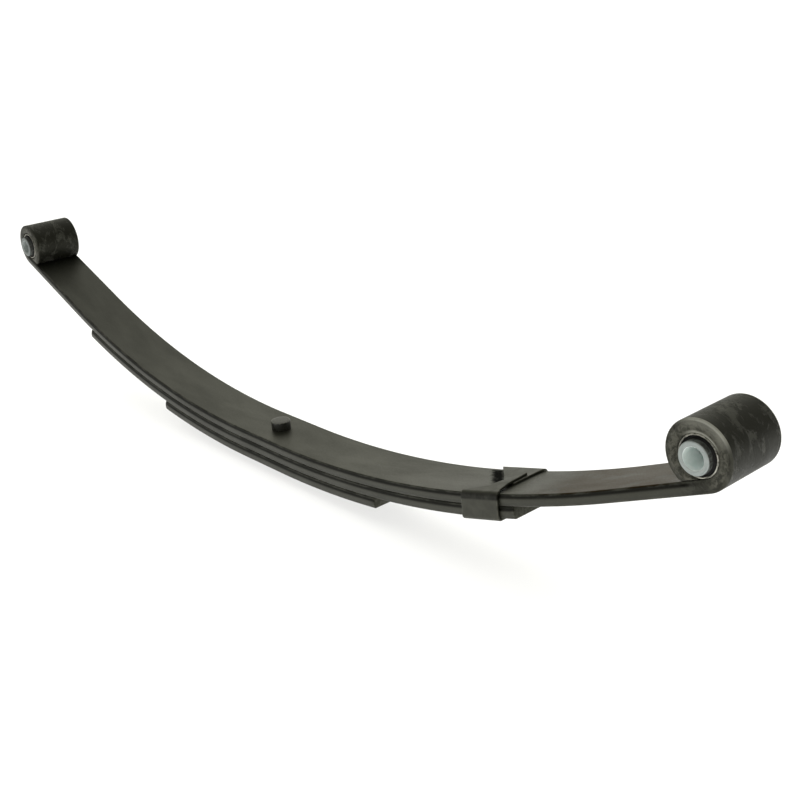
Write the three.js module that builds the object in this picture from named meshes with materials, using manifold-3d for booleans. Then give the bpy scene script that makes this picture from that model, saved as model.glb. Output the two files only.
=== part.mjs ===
// A three-leaf, semi-elliptic leaf spring for a light vehicle, with its eye bushings.
//
// Frame: millimetres, +Z up. The origin is on the main leaf's top face, on the centre bolt's axis.
// +X runs along the spring towards the eye beside the rebound clip (the front eye), +Y across it.
// The pack is bent like a smile: both eyes stand above the flat seat in the middle.

import * as THREE from 'three';
import { mergeVertices } from 'three/addons/utils/BufferGeometryUtils.js';
import Module from 'manifold-3d';

const wasm = await Module();
wasm.setup();

// ---- Driving dimensions ----------------------------------------------------------------------

const CLEARANCE = 0.3; // between any two pieces that touch on the real spring

// Leaves: flat spring-steel bar, 1 3/4 by 5/16 inch.
const LEAF_WIDTH = 44.45;
const LEAF_THICKNESS = 7.94;
const LEAF_EDGE_BREAK = 1.2;
const LEAF_PITCH = LEAF_THICKNESS + CLEARANCE;
const STATION_STEP = 16; // spacing of the outline's points along the arch

// The arch, as lengths along the main leaf's top face from the centre bolt:
// a flat seat, an arc, then a straight tip up to the point below the eye's centre.
const SEAT_HALF = 25;
const SEAT_PAD_HOLE_R = 12; // the clamped faces of the seat start here, clear of bolt head and nut
const FRONT_ARM = { side: 1, radius: 858, arcEnd: 358, eyeAt: 431 };
const REAR_ARM = { side: -1, radius: 727, arcEnd: 305, eyeAt: 405 };

// Ends of the two shorter leaves, as lengths along the arch.
const SECOND_LEAF = { front: 281.5, rear: 277.5 };
const THIRD_LEAF = { front: 140, rear: 146 };

// Eyes: the main leaf passes under the bushing and wraps outward, up and back over it.
const EYE_BORE_R = 12.3;
const EYE_WRAP = THREE.MathUtils.degToRad(320);
const EYE_STEPS = 32;
const EYE_TIP_GAP = 0.3; // between the roll's thinned tip and the leaf's top face

// Bushings: thin outer shell, rubber, inner sleeve for a half-inch bolt.
const SHELL_WALL = 0.9;
const SHELL_LENGTH = 44;
const RUBBER_LENGTH = 45.2;
const SLEEVE_R = 9.525;
const SLEEVE_BORE_R = 6.4;
const SLEEVE_LENGTH = 52;
const SLEEVE_CHAMFER = 0.5;

// Centre bolt, 3/8 inch, with a round head above the main leaf and a nut under the third leaf.
const BOLT_R = 4.75;
const BOLT_HEAD_R = 7.7;
const BOLT_HEAD_HEIGHT = 7;
const BOLT_CHAMFER = 0.8;
const BOLT_STICKOUT = 1.6;
const NUT_ACROSS_FLATS = 14.3;
const NUT_HEIGHT = 6;
const NUT_CHAMFER = 0.9;

// Rebound clip: a strap riveted under the second leaf and folded over the main leaf near the front eye.
const CLIP_AT = 255;
const CLIP_LENGTH = 34;
const CLIP_THICKNESS = 1.5;
const CLIP_SIDE_GAP = 0.5;
const CLIP_BEND_R = 2.2; // to the middle of the strap
const CLIP_LEAN = 4.5; // how far the near side's lower end lies behind its fold
const CLIP_FLARE = 10; // how much longer the far side is at its fold than at the web
const RIVET_R = 3;
const RIVET_HEAD_R = 5.3;
const RIVET_DOME_HEIGHT = 3;
const RIVET_SINK = 2; // depth of the countersink in the second leaf

// The clip's two ears lie on top of the main leaf. The far one, folded from the +Y side, lies flat
// on the leaf. The near one, folded from the -Y side, climbs over it between the first two lengths.
const FAR_EAR_END = -6;
const NEAR_EAR_CLIMB_END = -8.5;
const NEAR_EAR_END = 9.5;

// Each ear in plan, as [along the leaf from the clip's middle, across the leaf], from fold to tip.
const FAR_EAR_PLAN = [[-27, 30], [-27, 22], [-14, 13], [6, -6], [15, -6], [15.5, 30]];
const NEAR_EAR_PLAN = [
  [-17, -30],
  [-17, -21.5],
  [-1.5, -14.5],
  [4.5, -3.5],
  [8.5, 9.5],
  [11.5, 9.5],
  [13.5, -8],
  [17, -21.5],
  [17, -30],
];

const ROUND_SEGMENTS = 40;
const RIVET_SEGMENTS = 24;
const BEND_STEPS = 6;
const PAST = 1; // how far a cutter runs past the face that it opens
const DRILL_REACH = 60; // half the length of the cutter for the bolt's holes

// ---- Materials -------------------------------------------------------------------------------

function finish(color, roughness, metalness) {
  return new THREE.MeshStandardMaterial({ color, roughness, metalness });
}

const LOOKS = {
  paintedLeaf: () => finish(0x585a50, 0.5, 0.2),
  paintedClip: () => finish(0x4a4b43, 0.5, 0.2),
  boltSteel: () => finish(0x2b2c28, 0.4, 0.6),
  zincSleeve: () => finish(0xa9b2af, 0.35, 0.9),
  shellSteel: () => finish(0x6f716b, 0.4, 0.8),
  rubber: () => finish(0x1c1c1b, 0.85, 0),
};

// ---- Solids and booleans ---------------------------------------------------------------------

// Each triangle keeps a face number of its own, so no edge of the outline is dissolved later.
function toSolid(geometry) {
  const bare = geometry.index ? geometry.toNonIndexed() : geometry.clone();
  bare.deleteAttribute('normal');
  bare.deleteAttribute('uv');
  const merged = mergeVertices(bare, 1e-4);
  const triangles = new Uint32Array(merged.index.array);
  return new wasm.Manifold(new wasm.Mesh({
    numProp: 3,
    vertProperties: new Float32Array(merged.attributes.position.array),
    triVerts: triangles,
    faceID: new Uint32Array(triangles.length / 3).map((_, i) => i),
  }));
}

function toGeometry(solid) {
  const mesh = solid.getMesh();
  const geometry = new THREE.BufferGeometry();
  geometry.setAttribute('position', new THREE.BufferAttribute(mesh.vertProperties, 3));
  geometry.setIndex(new THREE.BufferAttribute(mesh.triVerts, 1));
  geometry.computeVertexNormals();
  return geometry;
}

const part = new THREE.Group();

// Adds one named piece. A parent group places pieces that are made in a frame of their own.
function addPiece(name, geometry, material, parent = part) {
  const mesh = new THREE.Mesh(geometry, material);
  mesh.name = name;
  parent.add(mesh);
  return mesh;
}

// A rod, about +Z, from z = low to z = high.
function rod(radius, low, high, segments = ROUND_SEGMENTS) {
  const geometry = new THREE.CylinderGeometry(radius, radius, high - low, segments);
  geometry.rotateX(Math.PI / 2);
  geometry.translate(0, 0, (low + high) / 2);
  return geometry;
}

// A solid of revolution about +Z. The profile is a list of [radius, height].
function turned(profile, segments = ROUND_SEGMENTS) {
  const points = profile.map(([radius, height]) => new THREE.Vector2(radius, height));
  const geometry = new THREE.LatheGeometry(points, segments);
  geometry.rotateX(Math.PI / 2);
  return geometry;
}

// A tube along Y, centred on y = 0, with chamfered end faces.
function tube(outerR, innerR, length, chamfer = 0) {
  const end = length / 2;
  const profile = [
    [innerR, -end],
    [outerR - chamfer, -end],
    [outerR, chamfer - end],
    [outerR, end - chamfer],
    [outerR - chamfer, end],
    [innerR, end],
    [innerR, -end],
  ].filter(([radius, height], i, all) => {
    const before = all[i - 1];
    return !before || Math.hypot(radius - before[0], height - before[1]) > 1e-6;
  });
  const geometry = turned(profile);
  geometry.rotateX(-Math.PI / 2);
  return geometry;
}

// Extrudes an outline drawn in the XZ plane across the spring, centred on y = 0, with broken edges.
function acrossSpring(outline, width, edgeBreak) {
  const shape = new THREE.Shape(outline.map(({ x, z }) => new THREE.Vector2(x, z)));
  const geometry = new THREE.ExtrudeGeometry(shape, {
    depth: width - 2 * edgeBreak,
    bevelEnabled: edgeBreak > 0,
    bevelThickness: edgeBreak,
    bevelSize: edgeBreak,
    bevelOffset: -edgeBreak,
    bevelSegments: 1,
  });
  geometry.translate(0, 0, edgeBreak - width / 2);
  geometry.rotateX(Math.PI / 2);
  return geometry;
}

// ---- The arch --------------------------------------------------------------------------------

// The place a given length along one arm, at a depth below the main leaf's top face.
function onArch(arm, along, depth) {
  const slope = Math.max(0, Math.min(along, arm.arcEnd) - SEAT_HALF) / arm.radius;
  const tip = Math.max(0, along - arm.arcEnd);
  const run = Math.min(along, SEAT_HALF) + arm.radius * Math.sin(slope) + tip * Math.cos(slope);
  const rise = arm.radius * (1 - Math.cos(slope)) + tip * Math.sin(slope);
  return {
    x: arm.side * (run + depth * Math.sin(slope)),
    z: rise - depth * Math.cos(slope),
    slope,
  };
}

// Lengths along an arm at which the outline has a point, from the centre outwards.
function stations(end) {
  const list = [SEAT_PAD_HOLE_R];
  for (let along = SEAT_HALF; along < end - STATION_STEP / 2; along += STATION_STEP) {
    list.push(along);
  }
  list.push(end);
  return list;
}

// One face of a leaf, from its rear end to its front end.
function leafFace(rearEnd, frontEnd, depth) {
  const rear = stations(rearEnd).reverse().map((along) => onArch(REAR_ARM, along, depth));
  const front = stations(frontEnd).map((along) => onArch(FRONT_ARM, along, depth));
  return [...rear, ...front];
}

// The eye's arc at one radius, from below the bushing round to the tip of the roll. Towards its
// tip the roll gets thinner, so that it ends close above the leaf's own top face.
function eyeArc(arm, radius) {
  const centre = onArch(arm, arm.eyeAt, -EYE_BORE_R);
  const arc = [];
  for (let i = 1; i <= EYE_STEPS; i += 1) {
    const swept = (EYE_WRAP * i) / EYE_STEPS;
    const angle = centre.slope - Math.PI / 2 + swept;
    const descending = swept > Math.PI * 1.5;
    const limit = descending ? (EYE_BORE_R - EYE_TIP_GAP) / Math.cos(swept) : radius;
    const reach = Math.min(radius, limit);
    arc.push({
      x: centre.x + arm.side * reach * Math.cos(angle),
      z: centre.z + reach * Math.sin(angle),
    });
  }
  return arc;
}

// ---- Leaves ----------------------------------------------------------------------------------

const boltHole = toSolid(rod(BOLT_R + CLEARANCE, -DRILL_REACH, DRILL_REACH));

function drilledLeaf(outline) {
  const bar = toSolid(acrossSpring(outline, LEAF_WIDTH, LEAF_EDGE_BREAK));
  return bar.subtract(boltHole);
}

function mainLeaf() {
  const outerR = EYE_BORE_R + LEAF_THICKNESS;
  const outline = [
    ...eyeArc(REAR_ARM, outerR).reverse(),
    ...leafFace(REAR_ARM.eyeAt, FRONT_ARM.eyeAt, LEAF_THICKNESS),
    ...eyeArc(FRONT_ARM, outerR),
    ...eyeArc(FRONT_ARM, EYE_BORE_R).reverse(),
    ...leafFace(REAR_ARM.eyeAt, FRONT_ARM.eyeAt, 0).reverse(),
    ...eyeArc(REAR_ARM, EYE_BORE_R),
  ];
  return drilledLeaf(outline);
}

function shorterLeaf(ends, number) {
  const top = LEAF_PITCH * number;
  const outline = [
    ...leafFace(ends.rear, ends.front, top + LEAF_THICKNESS),
    ...leafFace(ends.rear, ends.front, top).reverse(),
  ];
  return drilledLeaf(outline);
}

// ---- Clip frame ------------------------------------------------------------------------------

// The clip and its rivet are drawn in a frame on the main leaf's top face, tangent to the arch.
const clipPlace = onArch(FRONT_ARM, CLIP_AT, 0);
const clipFrame = new THREE.Group();
clipFrame.position.set(clipPlace.x, 0, clipPlace.z);
clipFrame.rotation.y = -clipPlace.slope;
part.add(clipFrame);

const SECOND_TOP = -LEAF_PITCH;
const SECOND_BOTTOM = -(LEAF_PITCH + LEAF_THICKNESS);
const WEB_BOTTOM = SECOND_BOTTOM - CLEARANCE - CLIP_THICKNESS;

// The head in the second leaf's countersink.
const SUNK_HEAD_TOP = SECOND_TOP - CLEARANCE;
const SUNK_HEAD_BOTTOM = SUNK_HEAD_TOP - RIVET_SINK;

function rivetHole() {
  const bottom = WEB_BOTTOM - PAST;
  const top = SECOND_TOP + PAST;
  return toSolid(turned([
    [0, bottom],
    [RIVET_R + CLEARANCE, bottom],
    [RIVET_R + CLEARANCE, SUNK_HEAD_BOTTOM],
    [RIVET_HEAD_R + CLEARANCE, SUNK_HEAD_TOP],
    [RIVET_HEAD_R + CLEARANCE, top],
    [0, top],
  ], RIVET_SEGMENTS));
}

function clipRivet() {
  const seat = WEB_BOTTOM - CLEARANCE;
  const steps = 3;
  const dome = [];
  for (let i = 0; i <= steps; i += 1) {
    const angle = (Math.PI / 2) * (i / steps);
    dome.push([RIVET_HEAD_R * Math.sin(angle), seat - RIVET_DOME_HEIGHT * Math.cos(angle)]);
  }
  return turned([
    ...dome,
    [RIVET_R, seat],
    [RIVET_R, SUNK_HEAD_BOTTOM],
    [RIVET_HEAD_R, SUNK_HEAD_TOP],
    [0, SUNK_HEAD_TOP],
  ], RIVET_SEGMENTS);
}

// ---- Rebound clip ----------------------------------------------------------------------------

// Rounds the inner corners of a path in the YZ plane. Each result has a place and a direction.
function roundedPath(corners, radius, steps) {
  const path = [];
  corners.forEach((corner, i) => {
    const before = corners[i - 1];
    const after = corners[i + 1];
    if (!before || !after) {
      const from = before ?? corner;
      const to = after ?? corner;
      path.push({ at: corner.clone(), heading: to.clone().sub(from).normalize() });
      return;
    }
    const incoming = corner.clone().sub(before).normalize();
    const outgoing = after.clone().sub(corner).normalize();
    const turn = Math.atan2(incoming.cross(outgoing), incoming.dot(outgoing));
    const trim = radius * Math.tan(Math.abs(turn) / 2);
    const start = corner.clone().addScaledVector(incoming, -trim);
    const inward = new THREE.Vector2(-incoming.y, incoming.x).multiplyScalar(Math.sign(turn));
    const centre = start.clone().addScaledVector(inward, radius);
    for (let k = 0; k <= steps; k += 1) {
      const swept = (turn * k) / steps;
      path.push({
        at: start.clone().rotateAround(centre, swept),
        heading: incoming.clone().rotateAround(new THREE.Vector2(), swept),
      });
    }
  });
  return path;
}

// Moves a straight strap's edges: the near side leans back towards the web, the far side's rear
// edge flares towards its fold, and the ears rise with the arch.
function skewClip(point) {
  const side = LEAF_WIDTH / 2 + CLIP_SIDE_GAP;
  const toFar = THREE.MathUtils.clamp((point[1] / side + 1) / 2, 0, 1);
  const down = THREE.MathUtils.clamp(point[2] / WEB_BOTTOM, 0, 1);
  const flare = point[0] < 0 ? CLIP_FLARE : 0;
  point[0] -= CLIP_LEAN * (1 - toFar) * down + flare * toFar * (1 - down);
  const onTop = THREE.MathUtils.clamp(point[2] / CLEARANCE, 0, 1);
  point[2] += (onTop * point[0] ** 2) / (2 * FRONT_ARM.radius);
}

// A strap of the clip's thickness that follows a path in the YZ plane, as long as the clip in X.
function strap(corners) {
  const path = roundedPath(corners, CLIP_BEND_R, BEND_STEPS);
  const face = (offset) => path.map(({ at, heading }) => new THREE.Vector2(
    at.x - heading.y * offset,
    at.y + heading.x * offset,
  ));
  const half = CLIP_THICKNESS / 2;
  const shape = new THREE.Shape([...face(-half), ...face(half).reverse()]);
  const geometry = new THREE.ExtrudeGeometry(shape, { depth: CLIP_LENGTH, bevelEnabled: false });
  geometry.translate(0, 0, -CLIP_LENGTH / 2);
  // The shape's two axes become Y and Z, and the extrusion runs along X.
  geometry.applyMatrix4(new THREE.Matrix4().makeBasis(
    new THREE.Vector3(0, 1, 0),
    new THREE.Vector3(0, 0, 1),
    new THREE.Vector3(1, 0, 0),
  ));
  return toSolid(geometry).warp(skewClip);
}

// A block over the main leaf with the given outline in plan.
function blockAbove(outline) {
  const height = 20;
  const shape = new THREE.Shape(outline.map(([x, y]) => new THREE.Vector2(x, y)));
  const geometry = new THREE.ExtrudeGeometry(shape, { depth: height, bevelEnabled: false });
  return toSolid(geometry);
}

// Trims the part of a strap that is above the main leaf's top face to an ear's plan.
function trimEar(solid, plan) {
  const x = CLIP_LENGTH / 2 + CLIP_FLARE + PAST;
  const y = LEAF_WIDTH / 2 + CLIP_SIDE_GAP + CLIP_THICKNESS + PAST;
  const all = blockAbove([[-x, -y], [x, -y], [x, y], [-x, y]]);
  return solid.subtract(all.subtract(blockAbove(plan)));
}

function reboundClip() {
  const mid = CLIP_THICKNESS / 2;
  const side = LEAF_WIDTH / 2 + CLIP_SIDE_GAP + mid;
  const web = WEB_BOTTOM + mid;
  const lowEar = CLEARANCE + mid;
  const highEar = lowEar + CLIP_THICKNESS + CLEARANCE;
  const point = (y, z) => new THREE.Vector2(y, z);

  const farHalf = strap([
    point(-PAST, web),
    point(side, web),
    point(side, lowEar),
    point(FAR_EAR_END, lowEar),
  ]);
  const nearHalf = strap([
    point(PAST, web),
    point(-side, web),
    point(-side, lowEar),
    point(NEAR_EAR_CLIMB_END, highEar),
    point(NEAR_EAR_END, highEar),
  ]);
  const bothHalves = trimEar(nearHalf, NEAR_EAR_PLAN).add(trimEar(farHalf, FAR_EAR_PLAN));
  return bothHalves.subtract(rivetHole());
}

// ---- Assembly --------------------------------------------------------------------------------

addPiece('main_leaf', toGeometry(mainLeaf()), LOOKS.paintedLeaf());

const secondLeaf = shorterLeaf(SECOND_LEAF, 1);
clipFrame.updateMatrixWorld(true);
const placedRivetHole = rivetHole().transform(clipFrame.matrixWorld.toArray());
addPiece('second_leaf', toGeometry(secondLeaf.subtract(placedRivetHole)), LOOKS.paintedLeaf());
addPiece('third_leaf', toGeometry(shorterLeaf(THIRD_LEAF, 2)), LOOKS.paintedLeaf());

addPiece('rebound_clip', toGeometry(reboundClip()), LOOKS.paintedClip(), clipFrame);
addPiece('clip_rivet', clipRivet(), LOOKS.paintedClip(), clipFrame);

const PACK_BOTTOM = -(2 * LEAF_PITCH + LEAF_THICKNESS);
const NUT_BOTTOM = PACK_BOTTOM - CLEARANCE - NUT_HEIGHT;

function centreBolt() {
  const head = CLEARANCE + BOLT_HEAD_HEIGHT;
  const end = NUT_BOTTOM - BOLT_STICKOUT;
  return turned([
    [0, end],
    [BOLT_R - BOLT_CHAMFER, end],
    [BOLT_R, end + BOLT_CHAMFER],
    [BOLT_R, CLEARANCE],
    [BOLT_HEAD_R, CLEARANCE],
    [BOLT_HEAD_R, head - BOLT_CHAMFER],
    [BOLT_HEAD_R - BOLT_CHAMFER, head],
    [0, head],
  ]);
}

function centreNut() {
  const sides = 6;
  const cornerR = NUT_ACROSS_FLATS / 2 / Math.cos(Math.PI / sides);
  const top = PACK_BOTTOM - CLEARANCE;
  const prism = rod(cornerR, NUT_BOTTOM, top, sides);
  const envelope = turned([
    [0, NUT_BOTTOM],
    [cornerR - NUT_CHAMFER, NUT_BOTTOM],
    [cornerR, NUT_BOTTOM + NUT_CHAMFER],
    [cornerR, top],
    [0, top],
  ]);
  return toSolid(prism).intersect(toSolid(envelope)).subtract(boltHole);
}

addPiece('center_bolt', centreBolt(), LOOKS.boltSteel());
addPiece('center_nut', toGeometry(centreNut()), LOOKS.boltSteel());

// One bushing for each eye, in a group on the eye's centre.
function addBushing(end, arm) {
  const centre = onArch(arm, arm.eyeAt, -EYE_BORE_R);
  const eye = new THREE.Group();
  eye.position.set(centre.x, 0, centre.z);
  part.add(eye);

  const shellR = EYE_BORE_R - CLEARANCE;
  const rubberR = shellR - SHELL_WALL - CLEARANCE;
  const shell = tube(shellR, shellR - SHELL_WALL, SHELL_LENGTH);
  const rubber = tube(rubberR, SLEEVE_R + CLEARANCE, RUBBER_LENGTH);
  const sleeve = tube(SLEEVE_R, SLEEVE_BORE_R, SLEEVE_LENGTH, SLEEVE_CHAMFER);
  addPiece(`${end}_bushing_shell`, shell, LOOKS.shellSteel(), eye);
  addPiece(`${end}_bushing_rubber`, rubber, LOOKS.rubber(), eye);
  addPiece(`${end}_inner_sleeve`, sleeve, LOOKS.zincSleeve(), eye);
}

addBushing('front', FRONT_ARM);
addBushing('rear', REAR_ARM);

export default part;
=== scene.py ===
"""Leaf spring: the visible model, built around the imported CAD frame. Metres, +Z up.

Origin on the centre bolt's axis at the main leaf's top face, +X towards the front eye.
"""

import math

import bmesh
import bpy
import numpy as np
from mathutils import Matrix, Vector


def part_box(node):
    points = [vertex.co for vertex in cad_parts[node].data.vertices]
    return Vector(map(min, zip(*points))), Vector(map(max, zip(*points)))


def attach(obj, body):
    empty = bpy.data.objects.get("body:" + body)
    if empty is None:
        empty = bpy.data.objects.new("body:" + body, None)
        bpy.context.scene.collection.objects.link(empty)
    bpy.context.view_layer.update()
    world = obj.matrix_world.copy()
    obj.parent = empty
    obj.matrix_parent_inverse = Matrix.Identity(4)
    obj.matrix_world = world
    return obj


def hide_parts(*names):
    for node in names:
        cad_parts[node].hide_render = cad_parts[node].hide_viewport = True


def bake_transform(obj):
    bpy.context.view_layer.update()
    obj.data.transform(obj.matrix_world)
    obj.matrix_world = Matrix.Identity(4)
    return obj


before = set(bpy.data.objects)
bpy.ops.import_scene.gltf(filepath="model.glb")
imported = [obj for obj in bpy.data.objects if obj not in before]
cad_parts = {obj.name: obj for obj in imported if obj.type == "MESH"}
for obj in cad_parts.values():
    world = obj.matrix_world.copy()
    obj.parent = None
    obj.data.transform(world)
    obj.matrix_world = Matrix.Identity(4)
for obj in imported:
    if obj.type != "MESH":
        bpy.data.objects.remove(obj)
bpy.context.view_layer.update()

MM = 0.001

# ---- Dimensions, as in the CAD -----------------------------------------------------------------

LEAF_WIDTH = 44.45 * MM
LEAF_PITCH = 8.24 * MM
SEAT_HALF = 25 * MM
EYE_BORE_R = 12.3 * MM
EYE_WRAP = math.radians(340)  # the CAD's roll ends 20 degrees earlier, before its feather edge
EYE_TIP_GAP = 0.05 * MM

# Lengths along the main leaf's top face from the centre bolt: an arc, then a straight tip.
FRONT = {"side": 1, "radius": 858 * MM, "arc_end": 358 * MM, "eye_at": 431 * MM}
REAR = {"side": -1, "radius": 727 * MM, "arc_end": 305 * MM, "eye_at": 405 * MM}
SECOND_ENDS = {"front": 281.5 * MM, "rear": 277.5 * MM}
THIRD_ENDS = {"front": 140 * MM, "rear": 146 * MM}

CLIP_AT = 255 * MM
CLIP_LENGTH = 34 * MM
CLIP_THICKNESS = 1.5 * MM
CLIP_LEAN = 4.5 * MM  # how far the near side's foot stands off its top, along the leaf
CLIP_FLARE = 10 * MM  # how much wider the far side is at its top


def on_arch(arm, along):
    """(x, z, slope) of the main leaf's top face at a length along one arm."""
    slope = max(0.0, min(along, arm["arc_end"]) - SEAT_HALF) / arm["radius"]
    tip = max(0.0, along - arm["arc_end"])
    run = (
        min(along, SEAT_HALF)
        + arm["radius"] * math.sin(slope)
        + tip * math.cos(slope)
    )
    rise = arm["radius"] * (1 - math.cos(slope)) + tip * math.sin(slope)
    return arm["side"] * run, rise, slope


# ---- Mesh helpers ------------------------------------------------------------------------------

SMOOTH_ANGLE = math.radians(40)  # faces that meet at more than this keep a sharp edge
MERGE_DISTANCE = 1e-6
SHORTEST_EDGE = 1e-7

# How strongly a vertex counts as part of an outer edge, which the materials wear.
RIM = 1.0
NEAR_RIM = 0.4
SIDE_RIM = 0.25

CORNER_STEPS = 5
LEAST_CORNER = 0.15 * MM
SUPPORT_WIDTH = 0.35 * MM  # from a corner to the vertex that keeps the flat face flat


def new_mesh(name, verts, faces, flow, edge, material):
    """An object from plain lists. flow is each vertex's place in the piece's own coordinates,
    for its material, and edge says how close it is to an outer edge, from 0 to 1."""
    mesh = bpy.data.meshes.new(name)
    mesh.from_pydata([tuple(v) for v in verts], [], faces)
    mesh.validate()
    mesh.attributes.new("flow", "FLOAT_VECTOR", "POINT").data.foreach_set(
        "vector", np.asarray(flow, np.float32).ravel()
    )
    mesh.attributes.new("edge", "FLOAT", "POINT").data.foreach_set(
        "value", np.asarray(edge, np.float32).ravel()
    )
    mesh.polygons.foreach_set("use_smooth", [True] * len(mesh.polygons))
    mesh.set_sharp_from_angle(angle=SMOOTH_ANGLE)
    mesh.materials.append(material)
    obj = bpy.data.objects.new(name, mesh)
    bpy.context.scene.collection.objects.link(obj)
    return obj


def loft(rings, loop=False):
    """Faces over rings of equal length, whose vertices are numbered one after the other. A loop
    joins its last ring to its first. Otherwise both ends are capped."""
    count = len(rings)
    size = len(rings[0])
    faces = []
    for i in range(count if loop else count - 1):
        a = i * size
        b = ((i + 1) % count) * size
        for k in range(size):
            n = (k + 1) % size
            faces.append((a + k, a + n, b + n, b + k))
    if not loop:
        faces.append(tuple(reversed(range(size))))
        faces.append(tuple((count - 1) * size + k for k in range(size)))
    return faces


def rounded_section(low, high, depth_low, depth_high, corner, bulge, inset=0.0):
    """A closed ring [(across, depth, edge weight)] of a bar with rounded corners and sides that
    bulge by a little. inset shrinks it, for rounding the bar's end."""
    low, high = low + inset, high - inset
    top, bottom = depth_low + inset, depth_high - inset
    r = max(corner - inset, LEAST_CORNER)
    middle = (top + bottom) / 2
    half = (bottom - top) / 2
    lean = math.atan2(bulge, half) if half > 0 else 0
    right = []
    for i in range(CORNER_STEPS + 1):
        angle = math.pi / 2 - (math.pi / 2 - lean) * i / CORNER_STEPS
        across = high - bulge - r + r * math.cos(angle)
        right.append((across, top + r - r * math.sin(angle), RIM))
    side_top = right[-1][1]
    for i in (1, 2, 3):
        depth = side_top + (2 * (middle - side_top)) * i / 4
        share = (depth - middle) / (side_top - middle)
        right.append((high - bulge * share * share, depth, SIDE_RIM))
    right += [(x, 2 * middle - d, e) for x, d, e in reversed(right[: CORNER_STEPS + 1])]
    left = [(low + high - x, d, e) for x, d, e in reversed(right)]
    support = right[0][0] - SUPPORT_WIDTH
    ring = [(support, top, NEAR_RIM)]
    ring += right
    ring += [(support, bottom, NEAR_RIM)]
    ring += [(low + high - support, bottom, NEAR_RIM)]
    ring += left
    ring += [(low + high - support, top, NEAR_RIM)]
    return ring


# ---- Leaves ------------------------------------------------------------------------------------

LEAF_CORNER = 0.8 * MM
LEAF_BULGE = 0.55 * MM
LEAF_HALF_WIDTH = LEAF_WIDTH / 2 + 0.25 * MM  # over the bulge of the rolled edges
LEAF_VISIBLE = 8.2 * MM  # the real leaves touch, so they fill the CAD's gaps
LEAF_END_ROUND = 0.8 * MM
LEAF_END_SHARE = 0.4  # the rounding of an end takes no more of its thickness than this
LEAF_END_STEPS = 4
LEAF_STEP = 4 * MM
EYE_STEPS = 84
THIN_FROM = 1.5 * math.pi  # the roll thins towards its tip from here


def leaf_path(arm, end, eye):
    """Stations (x, z, nx, nz, length): a point on the top face and the direction into the bar."""
    stops = list(np.arange(0, end - LEAF_STEP / 2, LEAF_STEP)) + [end]
    path = []
    for along in stops:
        x, z, slope = on_arch(arm, along)
        path.append((x, z, arm["side"] * math.sin(slope), -math.cos(slope), along))
    if eye:
        x, z, slope = on_arch(arm, end)
        cx = x - arm["side"] * math.sin(slope) * EYE_BORE_R
        cz = z + math.cos(slope) * EYE_BORE_R
        for i in range(1, EYE_STEPS + 1):
            swept = EYE_WRAP * i / EYE_STEPS
            angle = slope - math.pi / 2 + swept
            nx, nz = arm["side"] * math.cos(angle), math.sin(angle)
            length = end + swept * EYE_BORE_R
            path.append((cx + nx * EYE_BORE_R, cz + nz * EYE_BORE_R, nx, nz, length))
    return path


def leaf_half(name, arm, end, number, eye, material):
    """One half of a leaf, from the bolt's axis to its end. number counts leaves from the top."""
    half = LEAF_HALF_WIDTH
    top = LEAF_PITCH * number
    path = leaf_path(arm, end, eye)
    last = path[-1]
    before = path[-2]
    out = Vector((last[0] - before[0], 0, last[1] - before[1])).normalized()
    verts, flow, edge, rings = [], [], [], []

    def thickness_at(along):
        swept = (along - end) / EYE_BORE_R
        if not eye or swept <= THIN_FROM:
            return LEAF_VISIBLE
        limit = (EYE_BORE_R - EYE_TIP_GAP) / math.cos(swept) - EYE_BORE_R
        return min(LEAF_VISIBLE, limit)

    def add_ring(station, inset, back, rim):
        x, z, nx, nz, along = station
        low = top + thickness_at(along)
        section = rounded_section(-half, half, top, low, LEAF_CORNER, LEAF_BULGE, inset)
        ring = []
        for y, depth, weight in section:
            ring.append(len(verts))
            verts.append((x + nx * depth - out.x * back, y, z + nz * depth - out.z * back))
            flow.append((arm["side"] * (along - back), y, depth))
            edge.append(max(weight, rim))
        rings.append(ring)

    for station in path[:-1]:
        add_ring(station, 0.0, 0.0, 0.0)
    end_round = min(LEAF_END_ROUND, LEAF_END_SHARE * thickness_at(last[4]))
    for i in range(LEAF_END_STEPS + 1):
        angle = math.pi / 2 * i / LEAF_END_STEPS
        inset = end_round * (1 - math.cos(angle))
        back = end_round * (1 - math.sin(angle))
        add_ring(last, inset, back, RIM)
    faces = loft(rings)
    if arm["side"] < 0:
        faces = [tuple(reversed(f)) for f in faces]
    return new_mesh(name, verts, faces, flow, edge, material)


# ---- Turned pieces -----------------------------------------------------------------------------


def lathe(name, profile, material, centre, axis, segments=96, radius_at=None):
    """A solid of revolution. The profile is a closed list of (radius, height, edge weight), in
    order, about axis 'Y' or 'Z' through centre. Points on the axis have radius 0."""
    verts, flow, edge, rings = [], [], [], []
    for i in range(segments):
        angle = 2 * math.pi * i / segments
        ring = []
        for radius, height, weight in profile:
            r = radius_at(radius, angle, height) if radius_at else radius
            a, b = r * math.cos(angle), r * math.sin(angle)
            place = (a, height, b) if axis == "Y" else (a, b, height)
            ring.append(len(verts))
            verts.append(tuple(Vector(place) + centre))
            flow.append((angle * max(r, MERGE_DISTANCE), r, height))
            edge.append(weight)
        rings.append(ring)
    faces = loft(rings, loop=True)
    if axis == "Z":
        faces = [tuple(reversed(f)) for f in faces]
    obj = new_mesh(name, verts, faces, flow, edge, material)
    close_poles(obj)
    return obj


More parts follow.
